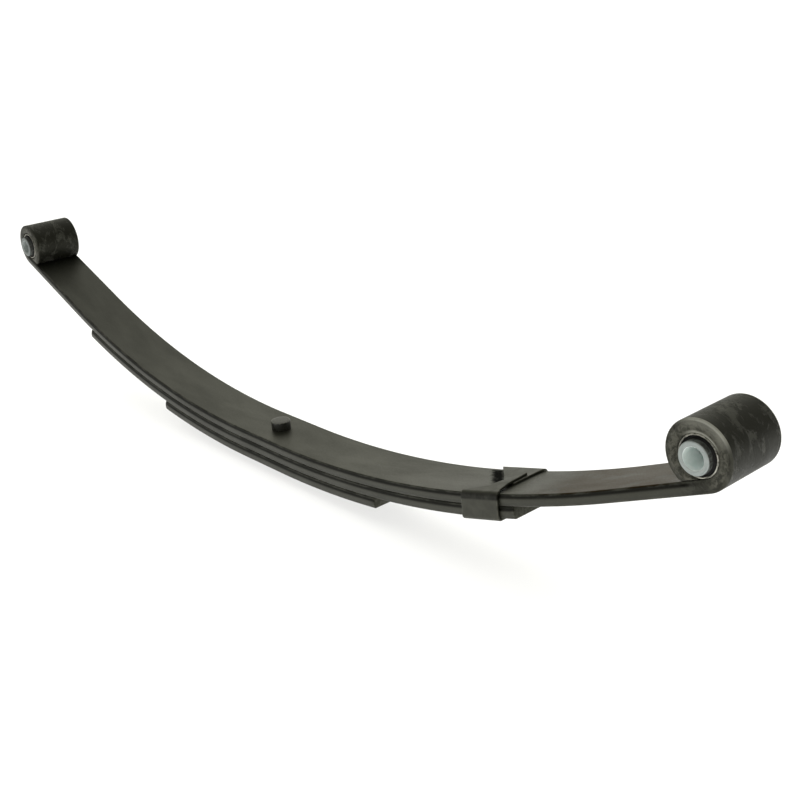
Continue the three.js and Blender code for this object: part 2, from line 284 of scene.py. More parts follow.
def close_poles(obj):
    """Merges the points that lie together on the axis."""
    work = bmesh.new()
    work.from_mesh(obj.data)
    bmesh.ops.remove_doubles(work, verts=work.verts, dist=MERGE_DISTANCE)
    bmesh.ops.dissolve_degenerate(work, edges=work.edges, dist=SHORTEST_EDGE)
    bmesh.ops.recalc_face_normals(work, faces=work.faces)
    work.to_mesh(obj.data)
    work.free()
    obj.data.set_sharp_from_angle(angle=SMOOTH_ANGLE)


def arc(cx, cy, radius, start, stop, steps):
    """Profile points on a rounded rim, angles in degrees."""
    points = []
    for i in range(steps + 1):
        angle = math.radians(start + (stop - start) * i / steps)
        points.append((cx + radius * math.cos(angle), cy + radius * math.sin(angle), RIM))
    return points


# ---- Materials ---------------------------------------------------------------------------------


class Look:
    """A material's node tree, with short calls to add and link nodes."""

    def __init__(self, name):
        self.material = bpy.data.materials.new(name)
        self.material.use_nodes = True
        self.tree = self.material.node_tree
        self.tree.nodes.clear()
        output = self.tree.nodes.new("ShaderNodeOutputMaterial")
        self.shader = self.tree.nodes.new("ShaderNodeBsdfPrincipled")
        self.link(self.shader.outputs[0], output, "Surface")

    def link(self, source, node, socket):
        self.tree.links.new(source, node.inputs[socket])

    def give(self, value, node, socket):
        """Sets a socket to a number, or links it."""
        if isinstance(value, (int, float)):
            node.inputs[socket].default_value = value
        else:
            self.link(value, node, socket)

    def set(self, **values):
        for key, value in values.items():
            self.shader.inputs[key.replace("_", " ")].default_value = value

    def finish(self, colour, roughness, normal):
        self.link(colour, self.shader, "Base Color")
        self.link(roughness, self.shader, "Roughness")
        self.link(normal, self.shader, "Normal")
        return self.material

    def attribute(self, name):
        node = self.tree.nodes.new("ShaderNodeAttribute")
        node.attribute_name = name
        return node

    def rim(self):
        """How close the surface is to an outer edge, from 0 to 1."""
        return self.attribute("edge").outputs["Fac"]

    def flow(self, scale=(1, 1, 1)):
        """The piece's own coordinates, stretched by a scale for each axis."""
        node = self.tree.nodes.new("ShaderNodeMapping")
        node.inputs["Scale"].default_value = scale
        self.link(self.attribute("flow").outputs["Vector"], node, "Vector")
        return node.outputs["Vector"]

    def noise(self, vector, scale, detail=4, roughness=0.6, distortion=0.0):
        node = self.tree.nodes.new("ShaderNodeTexNoise")
        node.inputs["Scale"].default_value = scale
        node.inputs["Detail"].default_value = detail
        node.inputs["Roughness"].default_value = roughness
        node.inputs["Distortion"].default_value = distortion
        self.link(vector, node, "Vector")
        return node.outputs["Fac"]

    def ramp(self, value, low, high, to_low=0.0, to_high=1.0, smooth=True):
        node = self.tree.nodes.new("ShaderNodeMapRange")
        node.interpolation_type = "SMOOTHSTEP" if smooth else "LINEAR"
        node.inputs["From Min"].default_value = low
        node.inputs["From Max"].default_value = high
        node.inputs["To Min"].default_value = to_low
        node.inputs["To Max"].default_value = to_high
        self.link(value, node, "Value")
        return node.outputs["Result"]

    def fade(self, value, low, high, start=1.0):
        """A ramp that falls from start to 0."""
        return self.ramp(value, low, high, start, 0.0)

    def band(self, value, rise, fall):
        """1 between two ramps and 0 outside them."""
        return self.times(self.ramp(value, *rise), self.fade(value, *fall))

    def math(self, operation, a, b):
        node = self.tree.nodes.new("ShaderNodeMath")
        node.operation = operation
        self.give(a, node, 0)
        self.give(b, node, 1)
        return node.outputs["Value"]

    def times(self, first, *others):
        for other in others:
            first = self.math("MULTIPLY", first, other)
        return first

    def plus(self, first, *others):
        for other in others:
            first = self.math("ADD", first, other)
        return first

    def size(self, value):
        return self.math("ABSOLUTE", value, 0)

    def separate(self, vector):
        node = self.tree.nodes.new("ShaderNodeSeparateXYZ")
        self.link(vector, node, "Vector")
        return node.outputs

    def mix(self, share, a, b):
        """Colour a where share is 0, b where it is 1. Each may be a colour or a link."""
        node = self.tree.nodes.new("ShaderNodeMix")
        node.data_type = "RGBA"
        self.link(share, node, "Factor")
        for slot, value in ((6, a), (7, b)):
            if isinstance(value, tuple):
                node.inputs[slot].default_value = (*value, 1.0)
            else:
                self.link(value, node, slot)
        return node.outputs[2]

    def bump(self, height, distance, strength=1.0, normal=None):
        node = self.tree.nodes.new("ShaderNodeBump")
        node.inputs["Distance"].default_value = distance
        node.inputs["Strength"].default_value = strength
        self.link(height, node, "Height")
        if normal is not None:
            self.link(normal, node, "Normal")
        return node.outputs["Normal"]


PAINT_DARK = (0.0095, 0.0098, 0.0064)
PAINT_LIGHT = (0.019, 0.0195, 0.0135)
PAINT_BROWN = (0.052, 0.034, 0.015)
PAINT_TINT = (1.0, 1.0, 0.82, 1.0)
WORN_EDGE = (0.075, 0.075, 0.062)
SCALE_GREY = (0.036, 0.037, 0.031)
RING_GREY = (0.10, 0.098, 0.080)
# Painted light on the lower part of the leaves' sides.
SIDE_PAINTED_LIGHT = (0.042, 0.042, 0.036)
ROLL_DARK = (0.0055, 0.0056, 0.0038)
# Painted highlight on the front eye's ring.
RING_HIGHLIGHT_COLOUR = (0.42, 0.42, 0.37)
# Near black: dirt in the clip's folds, and painted shade on the leaves.
DIRT_AND_PAINTED_SHADE = (0.002, 0.002, 0.0015)
OXIDE_DARK = (0.026, 0.026, 0.022)
OXIDE_LIGHT = (0.04, 0.039, 0.032)
# Painted shade on the side of the bolt's head and on the nut's corners.
OXIDE_SIDE_SHADE = (0.022, 0.022, 0.018)
OXIDE_WORN = (0.16, 0.16, 0.14)
ZINC_DARK = (0.30, 0.34, 0.335)
ZINC_LIGHT = (0.42, 0.455, 0.445)
ZINC_STAIN = (0.40, 0.38, 0.33)
# Painted light in the sleeves' bores, near white.
BORE_PAINTED_LIGHT_DIM = (0.80, 0.89, 0.87)
BORE_PAINTED_LIGHT_BRIGHT = (0.93, 0.98, 0.97)
SMEAR = (0.045, 0.045, 0.04)
STEEL_DARK = (0.07, 0.07, 0.06)
STEEL_LIGHT = (0.17, 0.165, 0.14)
STEEL_CUT = (0.52, 0.51, 0.45)
RUBBER_BLACK = (0.008, 0.008, 0.008)
RUBBER_GREY = (0.028, 0.028, 0.026)

DIELECTRIC_IOR = 1.5

# Where a leaf's marks begin and end. Each pair is one ramp, in metres: along the leaf from the
# bolt (negative towards the rear eye), across it, or down from the main leaf's top face.
BROWN_STARTS = (0.285, 0.325)
BROWN_ENDS = (0.40, 0.425)
TOP_FACE_ENDS = (0.0004, 0.0012)
SIDE_STARTS = (0.0212, 0.0222)
# Within each leaf's thickness: light painted low on the sides, shade painted high on them.
SIDE_LIGHT_STARTS = (0.0045, 0.0072)
SIDE_SHADE_ENDS = (0.0022, 0.0038)
ROLL_STARTS = (0.405, 0.44)
# Where the painted shade on the leaf by the rear eye's roll fades out.
REAR_CORNER_SHADE_ENDS = (-0.392, -0.362)
# Where the painted highlight on the front eye's ring lies.
RING_HIGHLIGHT_STARTS = (0.449, 0.456)
RING_HIGHLIGHT_ENDS = (0.466, 0.476)
RING_HIGHLIGHT_DEPTH = (0.002, 0.0078)
# The painted shadow by the clip is centred on a slanted line, where along plus the slant times
# across is constant.
SHADE_SLANT = 1.028
SHADE_AT = 0.2489
SHADE_FADES = (0.002, 0.0085)
SHADE_RAGGED = 0.004
SHADE_ACROSS_STARTS = (-0.010, -0.004)
SHADE_ACROSS_ENDS = (0.017, 0.0215)


def leaf_paint():
    """Satin olive-black dip paint over rolled bar: mottled, drawn out along the leaf, with worn
    edges, a brownish rub before the front eye and rougher scale on the rolled eyes. Shade is
    painted by the clip, under the rear eye and high on the sides, light is painted low on the
    sides, and a highlight is painted on the front eye's ring."""
    look = Look("leaf_paint")
    flow = look.flow()
    along, across, depth = look.separate(flow)
    broad = look.noise(look.flow((0.35, 1, 1)), 42, 5, 0.6, 0.4)
    streak = look.noise(look.flow((0.06, 1, 1)), 420)
    grain = look.noise(flow, 900, 3)
    colour = look.mix(look.ramp(broad, 0.3, 0.72), PAINT_DARK, PAINT_LIGHT)

    brown_patches = look.ramp(look.noise(look.flow((0.5, 1, 1)), 60), 0.25, 0.5)
    on_top = look.fade(depth, *TOP_FACE_ENDS)
    brown = look.times(look.band(along, BROWN_STARTS, BROWN_ENDS), brown_patches, on_top)
    colour = look.mix(look.times(brown, 0.85), colour, PAINT_BROWN)

    # Painted shadow, black, on the leaf between the rebound clip's two ears, along the far ear's
    # edge.
    slanted = look.plus(along, look.times(across, SHADE_SLANT))
    off_line = look.size(look.math("SUBTRACT", slanted, SHADE_AT))
    patchy = look.ramp(look.noise(flow, 350), 0.25, 0.5, 0.75, 1.0)
    ragged = look.ramp(look.noise(flow, 260), 0.2, 0.8, -SHADE_RAGGED, SHADE_RAGGED, False)
    off_line = look.plus(off_line, ragged)
    painted_shade = look.times(
        look.fade(off_line, *SHADE_FADES),
        on_top,
        look.ramp(across, *SHADE_ACROSS_STARTS),
        look.fade(across, *SHADE_ACROSS_ENDS),
    )
    # The same painted shade in the corner between the leaf and the rear eye's roll.
    corner = look.times(look.fade(along, *REAR_CORNER_SHADE_ENDS, 0.85), on_top)
    painted_shade = look.times(look.math("MAXIMUM", painted_shade, corner), patchy)
    colour = look.mix(painted_shade, colour, DIRT_AND_PAINTED_SHADE)

    # The rolled eyes: scale that flaked and was painted over.
    rolled = look.ramp(look.size(along), *ROLL_STARTS)
    flakes = look.ramp(look.noise(flow, 115, 7, 0.72, 0.9), 0.50, 0.62)
    flaked = look.times(rolled, flakes)
    colour = look.mix(look.times(rolled, 0.8), colour, ROLL_DARK)
    colour = look.mix(look.times(flaked, 0.8), colour, SCALE_GREY)
    on_side = look.ramp(look.size(across), *SIDE_STARTS)
    eye_side = look.times(on_side, look.ramp(rolled, 0.75, 1.0))
    pitted = look.ramp(look.noise(flow, 420, 5, 0.7, 0.4), 0.38, 0.6, 0.15, 1.0)
    colour = look.mix(look.times(eye_side, pitted), colour, RING_GREY)

    # On the sides the upper part of each leaf is painted darker as shade under the leaf above,
    # and the lower part painted lighter as light from below.
    in_leaf = look.math("MODULO", depth, LEAF_PITCH)
    side_low_light = look.times(look.ramp(in_leaf, *SIDE_LIGHT_STARTS), on_side)
    side_top_shade = look.times(look.fade(in_leaf, *SIDE_SHADE_ENDS), on_side)
    side_top_shade = look.times(side_top_shade, look.fade(rolled, 0.2, 0.8))
    colour = look.mix(look.times(side_top_shade, 0.75), colour, DIRT_AND_PAINTED_SHADE)
    colour = look.mix(look.times(side_low_light, 0.5), colour, SIDE_PAINTED_LIGHT)

    # Thin light streaks and specks of dust.
    colour = look.mix(look.times(look.ramp(streak, 0.63, 0.74), 0.35), colour, SCALE_GREY)
    dust = look.ramp(look.noise(flow, 1500, 2, 0.5), 0.66, 0.74)
    colour = look.mix(look.times(dust, 0.25), colour, WORN_EDGE)

    # Wear on the corners, and a painted highlight on the front eye's roll, on its rim and the
    # outer part of its side.
    rim = look.rim()
    broken = look.ramp(look.noise(look.flow((0.3, 1, 1)), 260, 5, 0.65), 0.42, 0.62)
    wear = look.times(look.ramp(rim, 0.5, 1.0), broken)
    colour = look.mix(look.times(wear, 0.6), colour, WORN_EDGE)
    outer_highlight = look.times(look.ramp(depth, *RING_HIGHLIGHT_DEPTH, 0.0, 0.45), eye_side)
    ring_highlight = look.math("MAXIMUM", look.ramp(rim, 0.35, 0.9, 0.0, 0.85), outer_highlight)
    ring_highlight = look.times(ring_highlight, look.band(along, RING_HIGHLIGHT_STARTS, RING_HIGHLIGHT_ENDS))
    colour = look.mix(ring_highlight, colour, RING_HIGHLIGHT_COLOUR)

    rough = look.plus(
        look.ramp(broad, 0.25, 0.75, 0.50, 0.40),
        look.ramp(grain, 0.3, 0.7, -0.04, 0.05),
        look.times(rolled, 0.04),
        look.times(painted_shade, 0.4),
        look.times(brown, 0.08),
    )
    # Gloss comes off with the rub and the scale, and where shade and the sides' bands are
    # painted.
    gloss = look.plus(
        look.times(brown, -0.22),
        look.times(painted_shade, -0.48),
        look.times(rolled, -0.24),
        look.times(flaked, 0.22),
        look.times(side_low_light, -0.24),
        look.times(side_top_shade, -0.42),
        0.5,
    )
    look.link(look.math("MAXIMUM", gloss, 0.0), look.shader, "Specular IOR Level")

    normal = look.bump(broad, 0.00025, 0.6)
    normal = look.bump(streak, 0.00006, 0.5, normal)
    normal = look.bump(grain, 0.00004, 0.6, normal)
    normal = look.bump(flaked, 0.00025, 0.9, normal)
    look.set(Metallic=0.0, IOR=DIELECTRIC_IOR, Specular_Tint=PAINT_TINT)
    return look.finish(colour, rough, normal)


# Dirt lies in a band of the clip just below its near fold, as lengths along the strap.
FOLD_DIRT_STARTS = (0.0325, 0.0340)
FOLD_DIRT_ENDS = (0.0360, 0.0380)


def clip_paint():
    """The same paint, on bent strap: a little darker, with dirt in the folds."""
    look = Look("clip_paint")
    flow = look.flow()
    broad = look.noise(flow, 90, 5, 0.6, 0.3)
    grain = look.noise(flow, 1100, 3)
    colour = look.mix(look.ramp(broad, 0.3, 0.7), PAINT_DARK, PAINT_LIGHT)
    broken = look.ramp(look.noise(flow, 320), 0.35, 0.6)
    wear = look.times(look.ramp(look.rim(), 0.5, 1.0), broken)
    colour = look.mix(look.times(wear, 0.85), colour, WORN_EDGE)
    _, length, _ = look.separate(flow)
    dirt = look.band(length, FOLD_DIRT_STARTS, FOLD_DIRT_ENDS)
    dirt = look.times(dirt, look.ramp(broad, 0.25, 0.6, 0.35, 0.85))
    colour = look.mix(dirt, colour, DIRT_AND_PAINTED_SHADE)
    gloss = look.ramp(dirt, 0.0, 1.0, 0.5, 0.12)
    look.link(gloss, look.shader, "Specular IOR Level")
    rough = look.ramp(broad, 0.3, 0.7, 0.52, 0.42)
    normal = look.bump(broad, 0.0002, 0.6)
    normal = look.bump(grain, 0.00004, 0.6, normal)
    look.set(Metallic=0.0, IOR=DIELECTRIC_IOR, Specular_Tint=PAINT_TINT)
    return look.finish(colour, rough, normal)


HEAD_SHADE_STARTS = (0.0072, 0.0076)  # radii on the bolt and nut


def bolt_finish():
    """Black oxide under a thin coat of the same paint, with shade painted darker on the head's
    side, and worn bright on the rims."""
    look = Look("bolt_finish")
    flow = look.flow()
    spots = look.noise(flow, 500)
    colour = look.mix(look.ramp(spots, 0.35, 0.7), OXIDE_DARK, OXIDE_LIGHT)
    _, radius, _ = look.separate(flow)
    # The head's side, and the nut's corners, are painted darker as shade.
    head_side_shade = look.ramp(radius, *HEAD_SHADE_STARTS)
    colour = look.mix(look.times(head_side_shade, 0.8), colour, OXIDE_SIDE_SHADE)
    broken = look.ramp(look.noise(flow, 700, 3), 0.35, 0.6)
    wear = look.times(look.ramp(look.rim(), 0.4, 1.0), broken)
    colour = look.mix(wear, colour, OXIDE_WORN)
    rough = look.ramp(spots, 0.3, 0.7, 0.42, 0.32)
    look.set(Metallic=0.15, IOR=DIELECTRIC_IOR)
    return look.finish(colour, rough, look.bump(spots, 0.00008, 0.7))


BORE_ENDS = (0.0065, 0.0067)  # radii on the sleeve
OUTSIDE_STARTS = (0.0093, 0.0095)


def zinc(name, shade):
    """Light bluish zinc plate: fine turning rings on the end faces, cloudy, with light painted in
    the bore that makes it near white, and dark smears outside. shade dims the plate, as painted
    shade on the rear sleeve's copy."""

    def tone(colour):
        return tuple(shade * part for part in colour)

    look = Look(name)
    flow = look.flow()
    cloud = look.noise(flow, 260, 5, 0.6, 0.5)
    cloudy = look.ramp(cloud, 0.3, 0.7)
    colour = look.mix(cloudy, tone(ZINC_DARK), tone(ZINC_LIGHT))
    stain = look.ramp(look.noise(flow, 120), 0.56, 0.72)
    colour = look.mix(look.times(stain, 0.4), colour, tone(ZINC_STAIN))
    _, radius, _ = look.separate(flow)
    # The bore is painted near white, as light inside it.
    bore = look.fade(radius, *BORE_ENDS)
    colour = look.mix(bore, colour, look.mix(cloudy, tone(BORE_PAINTED_LIGHT_DIM), tone(BORE_PAINTED_LIGHT_BRIGHT)))
    smear = look.ramp(look.noise(flow, 300), 0.35, 0.6, 0.55, 0.95)
    outside = look.times(look.ramp(radius, *OUTSIDE_STARTS), smear)
    colour = look.mix(outside, colour, SMEAR)
    look.link(look.fade(bore, 0.0, 1.0, 0.35), look.shader, "Metallic")
    rough = look.ramp(cloud, 0.3, 0.7, 0.42, 0.58)
    rings = look.noise(look.flow((0.02, 1, 0.15)), 5000, 2, 0.5)
    normal = look.bump(rings, 0.00003, 0.5)
    normal = look.bump(cloud, 0.00008, 0.5, normal)
    look.set(IOR=DIELECTRIC_IOR)
    return look.finish(colour, rough, normal)


def shell_steel():
    """Thin plain steel, dull, with a bright cut rim."""
    look = Look("shell_steel")
    blotch = look.noise(look.flow(), 300, 5, 0.65)
    colour = look.mix(look.ramp(blotch, 0.3, 0.7), STEEL_DARK, STEEL_LIGHT)
    bright = look.times(look.ramp(look.rim(), 0.3, 1.0), look.ramp(blotch, 0.4, 0.6))
    colour = look.mix(bright, colour, STEEL_CUT)
    rough = look.ramp(blotch, 0.3, 0.7, 0.32, 0.5)
    look.set(Metallic=0.8)
    return look.finish(colour, rough, look.bump(blotch, 0.0001, 0.6))


def rubber():
    """Matt black moulded rubber with a faint grey bloom."""
    look = Look("bushing_rubber")
    bloom = look.noise(look.flow(), 400, 5, 0.65)
    colour = look.mix(look.ramp(bloom, 0.4, 0.75), RUBBER_BLACK, RUBBER_GREY)
    rough = look.ramp(bloom, 0.3, 0.7, 0.7, 0.9)
    look.set(Metallic=0.0, IOR=DIELECTRIC_IOR)
    return look.finish(colour, rough, look.bump(bloom, 0.00015, 0.7))


LEAF = leaf_paint()
CLIP = clip_paint()
BOLT = bolt_finish()
# The rear sleeve's zinc is a dimmer copy of the front's: painted shade.
ZINC = {"front": zinc("sleeve_zinc_front", 1.0), "rear": zinc("sleeve_zinc_rear_painted_shade", 0.55)}
SHELL = shell_steel()
RUBBER = rubber()

# ---- The pack ----------------------------------------------------------------------------------

LEAVES = (
    ("main_leaf", {"front": FRONT["eye_at"], "rear": REAR["eye_at"]}, 0, True),
    ("second_leaf", SECOND_ENDS, 1, False),
    ("third_leaf", THIRD_ENDS, 2, False),
)
for node, ends, number, eye in LEAVES:
    for end, arm in (("front", FRONT), ("rear", REAR)):
        half = leaf_half(f"{node}_{end}_half", arm, ends[end], number, eye, LEAF)
        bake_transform(half)
        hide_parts(node)

# ---- Centre bolt and nut -----------------------------------------------------------------------

bolt_low, bolt_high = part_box("center_bolt")
nut_low, nut_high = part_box("center_nut")
BOLT_R = 4.75 * MM
HEAD_R = (bolt_high.x - bolt_low.x) / 2
HEAD_BOTTOM = 0.0
THREAD_PITCH = 1.25 * MM
THREAD_DEPTH = 0.55 * MM


TOUCH = 1e-6  # radii closer than this are the same


def threaded(radius, angle, height):
    """The bolt's radius where its thread shows below the nut."""
    if height > nut_high.z or abs(radius - BOLT_R) > TOUCH:
        return radius
    turn = (height / THREAD_PITCH - angle / (2 * math.pi)) % 1.0
    return radius - THREAD_DEPTH * (1 - abs(2 * turn - 1))


HEAD_ROUND = 0.7 * MM
HEAD_CROWN = 0.15 * MM  # from the rim's round to the top of the crown
HEAD_UNDERCUT = 0.4 * MM
END_CHAMFER = 0.8 * MM
THREAD_STEP = 0.12 * MM

profile = [(0.0, bolt_low.z, 0.0), (BOLT_R - END_CHAMFER, bolt_low.z, 0.6)]
height = bolt_low.z + END_CHAMFER
while height < nut_high.z:
    profile.append((BOLT_R, height, 0.2))
    height += THREAD_STEP
profile += [
    (BOLT_R, nut_high.z + 0.1 * MM, 0.0),
    (BOLT_R, HEAD_BOTTOM, 0.0),
    (HEAD_R - HEAD_UNDERCUT, HEAD_BOTTOM, 0.3),
    (HEAD_R, HEAD_BOTTOM + HEAD_UNDERCUT, 0.6),
    (HEAD_R, bolt_high.z - 3 * HEAD_ROUND, 0.0),
    (HEAD_R, bolt_high.z - 1.3 * HEAD_ROUND, 0.3),
]
round_z = bolt_high.z - HEAD_ROUND - HEAD_CROWN
profile += arc(HEAD_R - HEAD_ROUND, round_z, HEAD_ROUND, 0, 75, 6)
profile += [
    (HEAD_R - 2.2 * HEAD_ROUND, bolt_high.z - 0.06 * MM, 0.2),
    (HEAD_R * 0.5, bolt_high.z - 0.01 * MM, 0.0),
    (0.0, bolt_high.z, 0.0),
]
bolt = lathe("center_bolt_turned", profile, BOLT, Vector((0, 0, 0)), "Z", 96, threaded)
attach(bolt, "leaf_pack")
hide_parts("center_bolt")

NUT_FLAT = 14.3 * MM / 2
NUT_CORNER = NUT_FLAT / math.cos(math.pi / 6)
NUT_FACE_R = NUT_FLAT * 0.97
NUT_CHAMFER = 0.5 * MM
CONE_ANGLE = math.radians(60)  # the cone that cuts the nut's corners, from its axis


def hexagonal(radius, angle, height):
    """The nut's outer radius: a hexagon whose corners a cone cuts at each end."""
    if radius < NUT_FACE_R - TOUCH:
        return radius
    turn = (angle + math.pi / 6) % (math.pi / 3) - math.pi / 6
    flat = NUT_FLAT / math.cos(turn)
    reach = min(height - nut_low.z, nut_top - height)
    cone = NUT_FACE_R + max(reach, 0.0) * math.tan(CONE_ANGLE)
    return min(flat, cone)


nut_top = nut_high.z + 0.2 * MM
nut_bore = BOLT_R - THREAD_DEPTH
nut_tall = (nut_top - nut_low.z) / MM
# Close together in the last 1.2 mm at each end, where the cone cuts.
nut_heights = np.concatenate(
    [
        np.linspace(0, 1.2, 9),
        np.linspace(1.8, nut_tall - 1.8, 4),
        np.linspace(nut_tall - 1.2, nut_tall, 9),
    ]
)
profile = [(nut_bore + NUT_CHAMFER, nut_low.z, 0.5)]
profile += [(NUT_CORNER, nut_low.z + h * MM, 0.35) for h in nut_heights]
profile += [(nut_bore + NUT_CHAMFER, nut_top, 0.5), (nut_bore, nut_top - NUT_CHAMFER, 0.0)]
profile += [(nut_bore, nut_low.z + NUT_CHAMFER, 0.0)]
nut = lathe("center_nut_hex", profile, BOLT, Vector((0, 0, 0)), "Z", 120, hexagonal)
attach(nut, "leaf_pack")
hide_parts("center_nut")

# ---- Rebound clip ------------------------------------------------------------------------------

clip_x, clip_z, clip_slope = on_arch(FRONT, CLIP_AT)
ALONG = Vector((math.cos(clip_slope), 0, math.sin(clip_slope)))
UP = Vector((-math.sin(clip_slope), 0, math.cos(clip_slope)))
clip_origin = Vector((clip_x, 0, clip_z))

CLIP_GAP = 0.05 * MM  # the ears touch the leaf and each other
CLIP_BEND_R = 2.2 * MM
CLIP_SIDE_GAP = 0.5 * MM
CLIP_WEB_GAP = 0.06 * MM
CLIP_CORNER = 0.4 * MM
CLIP_BULGE = 0.05 * MM
CLIP_END_ROUND = 0.4 * MM
CLIP_BEND_STEPS = 12
CLIP_STEP = 0.7 * MM
FAR_TRIM = 1.5 * MM  # how far the far side's front edge stands back at its top
half_strap = CLIP_THICKNESS / 2
side_y = LEAF_WIDTH / 2 + CLIP_SIDE_GAP + half_strap
web_z = -(2 * LEAF_PITCH) - half_strap - CLIP_WEB_GAP
low_ear_z = half_strap + CLIP_GAP
high_ear_z = low_ear_z + CLIP_THICKNESS + CLIP_GAP
half_clip = CLIP_LENGTH / 2

# The strap's middle line in the YZ plane, from the near ear's tip round to the far ear's tip.
CLIP_CORNERS = [
    (9.8 * MM, high_ear_z),
    (-8.5 * MM, high_ear_z),
    (-side_y, low_ear_z),
    (-side_y, web_z),
    (side_y, web_z),
    (side_y, low_ear_z),
    (-6 * MM, low_ear_z),
]
# Each ear's edges in plan, as (across, along) points in mm.
NEAR_LEFT = [(-21.5, -17), (-18.2, -10.5), (-14.5, -1.5), (-9.3, 2.6), (-3.5, 4.6), (9.5, 9)]
NEAR_RIGHT = [(-21.5, 17), (-19, 15.2), (-8, 13.6), (0, 12.8), (9.5, 11.5)]
FAR_LEFT = [(-6, 5.5), (0.5, -1), (13, -14), (18.7, -20.5), (22, -24)]
FAR_RIGHT = [(-6, 14.6), (14, 14.4), (22, 15.5)]


def rounded_path(corners, radius, steps, spacing):
    """Points and headings along a path of straight runs and round bends."""
    path = []
    points = [Vector(c) for c in corners]

    def run(a, b):
        length = (b - a).length
        count = max(1, round(length / spacing))
        heading = (b - a).normalized()
        for i in range(count):
            path.append((a.lerp(b, i / count), heading))

    start = points[0]
    for before, corner, after in zip(points, points[1:], points[2:]):
        into = (corner - before).normalized()
        away = (after - corner).normalized()
        turn = math.atan2(into.x * away.y - into.y * away.x, into.dot(away))
        trim = radius * math.tan(abs(turn) / 2)
        first = corner - into * trim
        run(start, first)
        inward = Vector((-into.y, into.x)) * math.copysign(1, turn)
        centre = first + inward * radius
        for i in range(steps):
            swept = turn * i / steps
            spin = Matrix.Rotation(swept, 2)
            path.append((centre + spin @ (first - centre), spin @ into))
        start = corner + away * trim
    run(start, points[-1])
    path.append((points[-1], (points[-1] - points[-2]).normalized()))
    return path


def plan_limits(place, stage):
    """The strap's left and right edges where its middle line is at place."""
    y = place.x / MM
    to_far = min(max((place.x / side_y + 1) / 2, 0.0), 1.0)
    down = min(max((low_ear_z - place.y) / (low_ear_z - web_z), 0.0), 1.0)
    lean = CLIP_LEAN * (1 - to_far) * down
    at_far_top = to_far * (1 - down)
    left = -half_clip - lean - (CLIP_FLARE - CLIP_SIDE_GAP) * at_far_top
    right = half_clip - lean - FAR_TRIM * at_far_top
    if stage == "near":
        left = max(left, np.interp(y, *zip(*NEAR_LEFT)) * MM)
        right = min(right, np.interp(y, *zip(*NEAR_RIGHT)) * MM)
    if stage == "far":
        left = np.interp(y, *zip(*FAR_LEFT)) * MM
        right = np.interp(y, *zip(*FAR_RIGHT)) * MM
    return left, right


SPRUNG_BY = 0.35 * MM
SPRUNG_FROM = 4 * MM
SPRUNG_OVER = 10 * MM
SPRUNG_ACROSS = 16 * MM


def ear_rise(along, across, stage):
    """How far a point on an ear stands above its plane: the arch rises towards the ear's ends,
    and the far ear's rear corner springs up a little."""
    rise = along * along / (2 * FRONT["radius"])
    if stage == "far":
        corner = min(max((-along - SPRUNG_FROM) / SPRUNG_OVER, 0.0), 1.0)
        near_fold = min(max(across / SPRUNG_ACROSS, 0.0), 1.0)
        rise += SPRUNG_BY * corner * corner * (3 - 2 * corner) * near_fold
    return rise


def clip_stations():
    """(place, heading, stage, inset, length) of each ring along the strap. The first and last
    places are repeated with growing insets, which rounds the ends."""
    path = rounded_path(CLIP_CORNERS, CLIP_BEND_R, CLIP_BEND_STEPS, CLIP_STEP)
    caps = []
    for k in range(4):
        angle = math.pi / 2 * k / 3
        caps.append((CLIP_END_ROUND * (1 - math.cos(angle)), CLIP_END_ROUND * math.sin(angle)))
    stations = []
    length = 0.0
    for i, (place, heading) in enumerate(path):
        if i > 0:
            length += (place - path[i - 1][0]).length
        if place.y > -1 * MM:
            stage = "near" if i < len(path) / 2 else "far"
        else:
            stage = "middle"
        if i not in (0, len(path) - 1):
            stations.append((place, heading, stage, 0.0, length))
            continue
        outward = -heading if i == 0 else heading
        for inset, out in reversed(caps) if i == 0 else caps:
            shifted = place - outward * (CLIP_END_ROUND - out)
            stations.append((shifted, heading, stage, inset, length))
    return stations


def make_clip():
    verts, flow, edge, rings = [], [], [], []
    for place, heading, stage, inset, length in clip_stations():
        left, right = plan_limits(place, stage)
        normal = Vector((-heading.y, heading.x))
        section = rounded_section(
            left, right, -half_strap, half_strap, CLIP_CORNER, CLIP_BULGE, inset
        )
        ring = []
        on_top = min(max(place.y / MM + 1, 0.0), 1.0)
        for along, depth, weight in section:
            spot = place + normal * depth
            up = spot.y + on_top * ear_rise(along, place.x, stage)
            ring.append(len(verts))
            verts.append(clip_origin + ALONG * along + Vector((0, spot.x, 0)) + UP * up)
            flow.append((along, length, depth))
            edge.append(weight)
        rings.append(ring)
    return new_mesh("rebound_clip_strap", verts, loft(rings), flow, edge, CLIP)


clip = make_clip()
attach(clip, "front_arm")
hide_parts("rebound_clip")

RIVET_R = 3 * MM
RIVET_HEAD_R = 5.3 * MM
RIVET_DOME = 3 * MM
RIVET_SUNK = 0.1 * MM
RIVET_LENGTH = 9 * MM
DOME_STEPS = 9
head_z = web_z - half_strap
profile = [(0.0, head_z - RIVET_DOME, 0.5)]
for i in range(1, DOME_STEPS + 1):
    angle = math.pi / 2 * i / DOME_STEPS
    across, down = RIVET_HEAD_R * math.sin(angle), RIVET_DOME * math.cos(angle)
    profile.append((across, head_z - down, 0.3))
profile += [
    (RIVET_HEAD_R - 2 * RIVET_SUNK, head_z + RIVET_SUNK, 0.0),
    (RIVET_R, head_z + RIVET_SUNK, 0.0),
    (RIVET_R, head_z + RIVET_LENGTH, 0.0),
    (0.0, head_z + RIVET_LENGTH, 0.0),
]
rivet = lathe("clip_rivet_dome", profile, CLIP, Vector((0, 0, 0)), "Z", 48)
rivet.matrix_world = Matrix.Translation(clip_origin) @ Matrix.Rotation(-clip_slope, 4, "Y")
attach(rivet, "front_arm")
